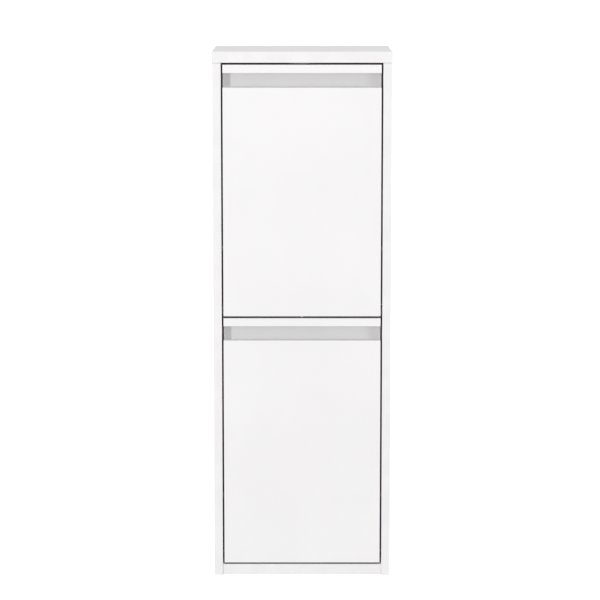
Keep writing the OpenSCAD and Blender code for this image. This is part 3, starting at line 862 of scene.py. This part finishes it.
class FastenerTree:
    """A Geometry Nodes tree that sets one fastener at every point, aimed along the point's own vector."""

    AIM = "aim"
    SHARP = math.radians(35)

    def __init__(self, name: str, sizes: dict[str, float]) -> None:
        """Starts the tree.

        Args:
            name: the tree's name.
            sizes: the named inputs and their values.
        """
        self.tree = bpy.data.node_groups.new(name, "GeometryNodeTree")
        self.bench = Bench(self.tree)
        self.sizes = sizes
        self.keys: dict[str, str] = {}
        interface = self.tree.interface
        interface.new_socket("Geometry", in_out="INPUT", socket_type="NodeSocketGeometry")
        for label, value in sizes.items():
            kind = "NodeSocketInt" if isinstance(value, int) else "NodeSocketFloat"
            socket = interface.new_socket(label, in_out="INPUT", socket_type=kind)
            self.keys[label] = socket.identifier
        interface.new_socket("Geometry", in_out="OUTPUT", socket_type="NodeSocketGeometry")
        self.start = self.bench.node("NodeGroupInput")

    def size(self, label: str) -> Wire:
        """A named input."""
        return self.start.other(label)

    def tube(self, length: Wire | float, sides: int, rings: Wire | int) -> Wire:
        """Adds a closed cylinder of unit radius along Z, centred.

        Args:
            length: its length.
            sides: how many sides it has.
            rings: how many segments it has along its length.

        Returns:
            The cylinder.
        """
        settings = {"fill_type": "NGON"}
        inputs = {"Vertices": sides, "Side Segments": rings, "Radius": 1.0, "Depth": length}
        return self.bench.node("GeometryNodeMeshCylinder", settings, inputs)

    def axes(self) -> tuple[Wire, Wire, Wire]:
        """The X, Y and Z of each vertex."""
        x = self.bench.node("ShaderNodeSeparateXYZ", None, {0: self.bench.node("GeometryNodeInputPosition")})
        return x, x.other(1), x.other(2)

    def reshape(self, mesh: Wire, radius: Wire, height: Wire) -> Wire:
        """Gives each vertex of a unit tube a new radius and height.

        Args:
            mesh: the tube.
            radius: the new radius, which may differ from vertex to vertex.
            height: the new Z.

        Returns:
            The reshaped tube.
        """
        x, y, _ = self.axes()
        spot = self.bench.node("ShaderNodeCombineXYZ", None, {0: x * radius, 1: y * radius, 2: height})
        return self.bench.node("GeometryNodeSetPosition", None, {"Geometry": mesh, "Position": spot})

    def finish(self, fastener: Wire, material: bpy.types.Material) -> None:
        """Sets the fastener at every point and ends the tree.

        Args:
            fastener: the fastener's mesh, with its seat at the origin and its head up.
            material: what it is made of.
        """
        bench = self.bench
        aim = bench.node(
            "GeometryNodeInputNamedAttribute", {"data_type": "FLOAT_VECTOR"}, {"Name": self.AIM}
        )
        turn = bench.node("FunctionNodeAlignRotationToVector", {"axis": "Z"}, {"Vector": aim})
        placed = bench.node("GeometryNodeInstanceOnPoints", None, {
            "Points": self.start, "Instance": fastener, "Rotation": turn,
        })
        solid = bench.node("GeometryNodeRealizeInstances", None, {0: placed})
        dressed = bench.node("GeometryNodeSetMaterial", None, {"Geometry": solid, "Material": material})
        bench.node("NodeGroupOutput", None, {0: dressed})

    def grow(self, seats: list[tuple[Vector, Vector]]) -> bpy.types.Mesh:
        """Runs the tree on some seats.

        Args:
            seats: a point and an aim for each fastener.

        Returns:
            A plain mesh of all of them.
        """
        points = bpy.data.meshes.new(self.tree.name)
        points.from_pydata([seat for seat, _ in seats], [], [])
        aims = points.attributes.new(self.AIM, "FLOAT_VECTOR", "POINT")
        aims.data.foreach_set("vector", [c for _, aim in seats for c in aim])
        carrier = bpy.data.objects.new(self.tree.name, points)
        bpy.context.scene.collection.objects.link(carrier)
        modifier = carrier.modifiers.new("fasteners", "NODES")
        modifier.node_group = self.tree
        for label, value in self.sizes.items():
            modifier[self.keys[label]] = value
        graph = bpy.context.evaluated_depsgraph_get()
        mesh = bpy.data.meshes.new_from_object(carrier.evaluated_get(graph), depsgraph=graph)
        bpy.data.objects.remove(carrier)
        mesh.set_sharp_from_angle(angle=self.SHARP)
        return mesh


@dataclass
class ScrewSet:
    """A row of identical wood screws: a threaded shank with a point, and a head with a cross recess.

    The shank's share is of the head's radius. The root's, point's and neck's are of the shank's radius.
    A recess arm is given in head radii along X and Y, and in head heights along Z.
    """

    node: str
    body: Body
    head: ScrewHead
    head_height: float
    aim: Callable[[Vector], Vector]
    pitch: float = 1.3 * MM
    sides: int = 18
    rings_per_turn: int = 6
    shank_share: float = 0.5
    root_share: float = 0.68
    point_turns: int = 3
    point_share: float = 0.08
    head_rings: int = 8
    pan_crown: float = 0.42
    pan_roundness: float = 2.6
    neck_share: float = 0.7
    cone_slope: float = 1.12
    recess_arms: tuple[tuple[float, float, float], ...] = ((1.1, 0.22, 1.3), (0.22, 1.1, 1.1))

    def build(self) -> bpy.types.Object:
        """Makes the screws where the CAD node's solids are.

        Returns:
            The object that holds them all.
        """
        seats, length, radius = self._seats()
        tree = FastenerTree(self.node, {
            "Shank radius": self.shank_share * radius,
            "Shank length": length,
            "Head radius": radius,
            "Head height": self.head_height,
            "Thread pitch": self.pitch,
            "Thread rings": int(self.rings_per_turn * length / self.pitch),
        })
        head = self._head(tree)
        both = tree.bench.node("GeometryNodeJoinGeometry", None, {0: [self._shank(tree), head]})
        tree.finish(both, SCREW.material())
        return stand_in(tree.grow(seats), self.node, self.body)

    def _seats(self) -> tuple[list[tuple[Vector, Vector]], float, float]:
        """Finds the screws in the CAD node.

        Returns:
            A seat and an aim for each screw, their length below the seat, and their head's radius.
        """
        seats = []
        for low, high in solids_of(self.node):
            middle = (low + high) / 2
            aim = self.aim(middle)
            half = abs(aim.dot(high - low)) / 2
            across = max(c for c in (high - low) - 2 * half * Vector(abs(c) for c in aim))
            above = self.head_height if self.head is ScrewHead.PAN else 0.0
            seats.append((middle + aim * (half - above), aim))
            length = 2 * half - above
        return seats, length, across / 2

    def _shank(self, tree: FastenerTree) -> Wire:
        """Adds the threaded shank, from the seat down to its point.

        Args:
            tree: the tree that it is added to.

        Returns:
            The shank.
        """
        length = tree.size("Shank length")
        x, y, z = tree.axes()
        turn = x.angle_to(y) / math.tau
        phase = (z / tree.size("Thread pitch") - turn).fraction()
        ridge = (1.0 - abs(phase - 0.5) * 4.0).at_least(0.0)
        above_tip = (z + length * 0.5) / (self.point_turns * self.pitch)
        taper = above_tip.at_least(self.point_share).at_most(1.0)
        thread = self.root_share + (1.0 - self.root_share) * ridge
        radius = tree.size("Shank radius") * thread * taper
        tube = tree.tube(length, self.sides, tree.size("Thread rings"))
        return tree.reshape(tube, radius, z - length * 0.5)

    def _head(self, tree: FastenerTree) -> Wire:
        """Adds the head with its cross recess.

        Args:
            tree: the tree that it is added to.

        Returns:
            The head.
        """
        bench = tree.bench
        wide = tree.size("Head radius")
        tall = tree.size("Head height")
        _, _, z = tree.axes()
        rise = z + 0.5
        blank = tree.tube(1.0, 2 * self.sides, self.head_rings)
        if self.head is ScrewHead.PAN:
            radius = wide * (1.0 - self.pan_crown * rise**self.pan_roundness)
            tube = tree.reshape(blank, radius, tall * rise)
            top = tall
        else:
            neck = tree.size("Shank radius") * self.neck_share
            radius = neck + (wide - neck) * (rise * self.cone_slope).at_most(1.0)
            tube = tree.reshape(blank, radius, tall * (rise - 1.0))
            top = 0.0
        arms = []
        for long_x, long_y, deep in self.recess_arms:
            sides = {0: wide * long_x, 1: wide * long_y, 2: tall * deep}
            size = bench.node("ShaderNodeCombineXYZ", None, sides)
            arm = bench.node("GeometryNodeMeshCube", None, {"Size": size})
            lift = bench.node("ShaderNodeCombineXYZ", None, {2: top})
            arms.append(bench.node("GeometryNodeTransform", None, {"Geometry": arm, "Translation": lift}))
        settings = {"operation": "DIFFERENCE"}
        return bench.node("GeometryNodeMeshBoolean", settings, {"Mesh 1": tube, "Mesh 2": arms})


@dataclass
class DowelSet:
    """Fluted beech dowels with bevelled ends."""

    node: str
    along: Vector
    flutes: int = 20
    flute_depth: float = 0.09
    bevel: float = 1.0 * MM
    sides_per_flute: int = 4
    rings: int = 30

    def build(self) -> bpy.types.Object:
        """Makes the dowels where the CAD node's solids are.

        Returns:
            The object that holds them all.
        """
        boxes = solids_of(self.node)
        low, high = boxes[0]
        length = abs(self.along.dot(high - low))
        across = min(high - low)
        tree = FastenerTree(self.node, {
            "Radius": across / 2, "Length": length, "Flutes": self.flutes, "Bevel": self.bevel,
        })
        x, y, z = tree.axes()
        angle = x.angle_to(y)
        flute = ((angle * tree.size("Flutes")).cosine() * 0.5 + 0.5) * self.flute_depth
        past = (abs(z) - (tree.size("Length") * 0.5 - tree.size("Bevel"))).at_least(0.0)
        radius = tree.size("Radius") * (1.0 - flute) - past
        tube = tree.tube(tree.size("Length"), self.sides_per_flute * self.flutes, self.rings)
        tree.finish(tree.reshape(tube, radius, z), WOOD.material())
        seats = [((a + b) / 2, self.along) for a, b in boxes]
        return stand_in(tree.grow(seats), self.node, Body.CABINET)


# ---------- sub-assemblies ----------


@dataclass
class Carcass:
    """The fixed boards of the cabinet and its back panel."""

    edge: float = 0.6 * MM

    def build(self) -> None:
        """Makes every board."""
        ends = (Side.FRONT, Side.LEFT, Side.RIGHT)
        boards = (
            Board("top_panel", Body.CABINET, 2, ends, self.edge),
            Board("left_side_panel", Body.CABINET, 0, (Side.FRONT, Side.BOTTOM), self.edge),
            Board("right_side_panel", Body.CABINET, 0, (Side.FRONT, Side.BOTTOM), self.edge),
            Board("bottom_panel", Body.CABINET, 2, (Side.FRONT,), self.edge),
            Board("mid_shelf", Body.CABINET, 2, (Side.FRONT,), self.edge),
            Sheet("back_panel", Body.CABINET, bare_rear=True),
        )
        for board in boards:
            board.build()


@dataclass
class JointFittings:
    """Cam locks, cam bolts and dowels at the top, at the shelf and at the bottom."""

    dowel_axes: dict[str, Vector] = field(default_factory=lambda: {
        "top": Vector((0, 0, 1)), "shelf": Vector((1, 0, 0)), "bottom": Vector((1, 0, 0)),
    })

    def build(self) -> None:
        """Makes the three sets."""
        for place, along in self.dowel_axes.items():
            DowelSet(f"{place}_dowels", along).build()
            Fitting(f"{place}_cam_locks", Body.CABINET, CAST, Slot.ZINC, 0.2 * MM).build()
            Fitting(f"{place}_cam_bolts", Body.CABINET, BRIGHT, Slot.STEEL, 0.15 * MM).build()


@dataclass
class WallFixings:
    """The two steel angles against tipping, with their screws."""

    def build(self) -> None:
        """Makes the angles and screws."""
        for side in ("left", "right"):
            Fitting(f"{side}_wall_bracket", Body.CABINET, STEEL, Slot.STEEL, 0.4 * MM, 3).build()

        def inwards(middle: Vector) -> Vector:
            """Towards the middle of the cabinet."""
            return Vector((-math.copysign(1.0, middle.x), 0, 0))

        ScrewSet("wall_bracket_screws", Body.CABINET, ScrewHead.PAN, PAN_HEIGHT, inwards).build()


@dataclass
class Catches:
    """The magnetic catches under the top panel and under the shelf."""

    levels: tuple[str, ...] = ("upper", "lower")
    magnet_corner: float = 0.12 * MM

    def build(self) -> None:
        """Makes the housings, magnets and screws."""
        for level in self.levels:
            Fitting(f"{level}_catch_housing", Body.CABINET, NYLON, Slot.PLASTIC, 0.3 * MM).build()
            self._magnet(f"{level}_catch_magnet")
        down = Vector((0, 0, -1))
        ScrewSet("catch_screws", Body.CABINET, ScrewHead.PAN, PAN_HEIGHT, lambda _: down).build()

    def _magnet(self, node: str) -> None:
        """Makes a magnet with its steel poles, which are the solids that stand out in front.

        Args:
            node: the magnet's CAD node.
        """
        shape = cad_copy(node)
        solids = solids_of(node)
        core_front = max(low.y for low, _ in solids)
        poles = [(low, high) for low, high in solids if low.y < core_front - TOUCH]
        for face in shape.faces:
            z = face.calc_center_median().z
            in_pole = any(low.z - TOUCH <= z <= high.z + TOUCH for low, high in poles)
            face.material_index = 1 if in_pole else 0
        soften(shape, self.magnet_corner, 2, sharper_than(FITTING_EDGE))
        mesh = to_mesh(shape, node, (MAGNET, BRIGHT))
        stand_in(mesh, node, Body.CABINET)


@dataclass
class TiltDoor:
    """A tilting door with its shoe insert, and the bushes and pegs that it turns on."""

    level: str
    body: Body
    edge: float = 0.4 * MM

    def build(self) -> None:
        """Makes the door, the insert and the fittings."""
        self._boards()
        self._insert()
        self._pivots()
        self._fasteners()

    def _boards(self) -> None:
        """Makes the door board, the strip over the recess and the rail behind it."""
        all_round = (Side.LEFT, Side.RIGHT, Side.BOTTOM, Side.TOP)
        # The grip rail takes the greyer laminate, which is painted shade for the recess in front of it.
        for part, face in (("door_board", LAMINATE), ("top_strip", LAMINATE), ("grip_rail", RECESS_SHADE_LAMINATE)):
            node = f"{self.level}_{part}"
            # Every door board takes the grey edge band, which is painted shade for the gaps round the doors.
            Board(node, self.body, 1, all_round, self.edge, face=face, band=GAP_SHADE_BAND).build()
        if self.level == "upper":
            Fitting("upper_gap_buffer", self.body, DOME, Slot.BUFFER, 0.1 * MM).build()

    def _insert(self) -> None:
        """Makes the two moulded sides and the four boards between them."""
        for side in ("left", "right"):
            Fitting(f"{self.level}_{side}_bracket", self.body, NYLON, Slot.PLASTIC, 0.3 * MM).build()
        for part in ("front_row_floor", "row_divider", "rear_row_floor", "rear_row_back"):
            Sheet(f"{self.level}_{part}", self.body).build()

    def _pivots(self) -> None:
        """Makes the pins, the bushes and the stop pegs."""
        Fitting(f"{self.level}_pivot_pins", self.body, BLACKENED, Slot.STEEL, 0.15 * MM).build()
        Fitting(f"{self.level}_pivot_bushes", Body.CABINET, BUSH, Slot.PLASTIC, 0.2 * MM).build()
        Fitting(f"{self.level}_stop_pegs", Body.CABINET, NYLON, Slot.PLASTIC, 0.4 * MM, 3).build()

    def _fasteners(self) -> None:
        """Makes the screws and the strike plate."""
        rear = Vector((0, 1, 0))
        Fitting(f"{self.level}_strike_plate", self.body, STEEL, Slot.STEEL, 0.2 * MM).build()
        sets = (
            ("bracket_screws", ScrewHead.PAN, PAN_HEIGHT),
            ("rail_screws", ScrewHead.FLAT, RAIL_HEAD_HEIGHT),
            ("strike_screws", ScrewHead.FLAT, STRIKE_HEAD_HEIGHT),
        )
        for part, head, height in sets:
            ScrewSet(f"{self.level}_{part}", self.body, head, height, lambda _: rear).build()


# ---------- studio ----------


@dataclass(frozen=True)
class SoftBox:
    """A large rectangular studio light."""

    name: str
    place: tuple[float, float, float]
    aim: tuple[float, float, float]
    size: tuple[float, float]
    power: float

    def build(self) -> None:
        """Hangs the light and turns it to its aim."""
        light = bpy.data.lights.new(self.name, "AREA")
        light.shape = "RECTANGLE"
        light.size, light.size_y = self.size
        light.energy = self.power
        lamp = bpy.data.objects.new(self.name, light)
        lamp.location = self.place
        lamp.rotation_euler = (Vector(self.aim) - Vector(self.place)).to_track_quat("-Z", "Y").to_euler()
        bpy.context.scene.collection.objects.link(lamp)
        log.info("%s: %.0f W", self.name, self.power)


@dataclass
class Studio:
    """Floor, surround, lights and camera."""

    floor_radius: float = 90.0
    lens: float = 147.05
    distance: float = 5.114
    eye_above_top: float = 0.230
    pitch: float = math.radians(8.36)
    shift: float = -0.0034
    ambient: float = 0.557
    dome_radius: float = 95.0
    floor_sides: int = 96
    dome_rings: tuple[int, int] = (48, 24)

    def build(self) -> None:
        """Makes the whole studio."""
        self._floor()
        self._dome()
        self._surround()
        self._lights()
        self._camera()
        bpy.context.scene.view_settings.view_transform = "Standard"

    def _floor(self) -> None:
        """A wide round floor, level with the cabinet's lowest edge."""
        shape = bmesh.new()
        bmesh.ops.create_circle(shape, cap_ends=True, segments=self.floor_sides, radius=self.floor_radius)
        bmesh.ops.translate(shape, verts=shape.verts, vec=(0, 0, MODEL_BOUNDS[0][2]))
        mesh = to_mesh(shape, "floor", (FLOOR,))
        floor = bpy.data.objects.new("floor", mesh)
        bpy.context.scene.collection.objects.link(floor)
        self._hide_from_bounces(floor)

    def _dome(self) -> None:
        """A white dome behind everything. Only the camera sees it, so it lights nothing."""
        shape = bmesh.new()
        around, up = self.dome_rings
        bmesh.ops.create_uvsphere(shape, u_segments=around, v_segments=up, radius=self.dome_radius)
        mesh = to_mesh(shape, "dome", (GLOW,))
        dome = bpy.data.objects.new("dome", mesh)
        bpy.context.scene.collection.objects.link(dome)
        dome.visible_shadow = False
        self._hide_from_bounces(dome)

    @staticmethod
    def _hide_from_bounces(piece: bpy.types.Object) -> None:
        """Keeps a stage piece out of the light that bounces between surfaces.

        Args:
            piece: the floor or the dome.
        """
        piece.visible_diffuse = False
        piece.visible_glossy = False
        piece.visible_transmission = False

    def _surround(self) -> None:
        """Even soft light from all sides."""
        world = bpy.data.worlds.new("surround")
        world.use_nodes = True
        bpy.context.scene.world = world
        world.node_tree.nodes["Background"].inputs["Color"].default_value = (1.0, 1.0, 1.0, 1.0)
        world.node_tree.nodes["Background"].inputs["Strength"].default_value = self.ambient

    def _lights(self) -> None:
        """A key from the left, a broad fill from the right and a high light in front."""
        aim = (0.0, -0.1, 0.6)
        boxes = (
            SoftBox("key_light", (-4.55, -4.05, 0.6), aim, (0.45, 1.4), 129.0),
            SoftBox("fill_light", (4.8, -2.9, 0.6), aim, (1.6, 1.8), 83.0),
            SoftBox("high_light", (0.0, -4.6, 8.4), aim, (3.6, 1.4), 345.0),
        )
        for box in boxes:
            box.build()

    def _camera(self) -> None:
        """The camera, square to the front and a little above the cabinet."""
        camera = bpy.data.objects.new("camera", bpy.data.cameras.new("camera"))
        camera.data.lens = self.lens
        camera.data.shift_x = self.shift
        camera.data.clip_end = 2 * self.floor_radius
        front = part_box("left_side_panel")[0].y
        top = MODEL_BOUNDS[1][2]
        camera.location = (0.0, front - self.distance, top + self.eye_above_top)
        camera.rotation_euler = (math.radians(90) - self.pitch, 0, 0)
        bpy.context.scene.collection.objects.link(camera)
        bpy.context.scene.camera = camera


def main() -> None:
    """Builds the studio and then each sub-assembly."""
    logging.basicConfig(level=logging.INFO, format="%(name)s: %(message)s")
    Studio().build()
    Carcass().build()
    JointFittings().build()
    WallFixings().build()
    Catches().build()
    TiltDoor("upper", Body.UPPER).build()
    TiltDoor("lower", Body.LOWER).build()


if __name__ == "__main__":
    main()
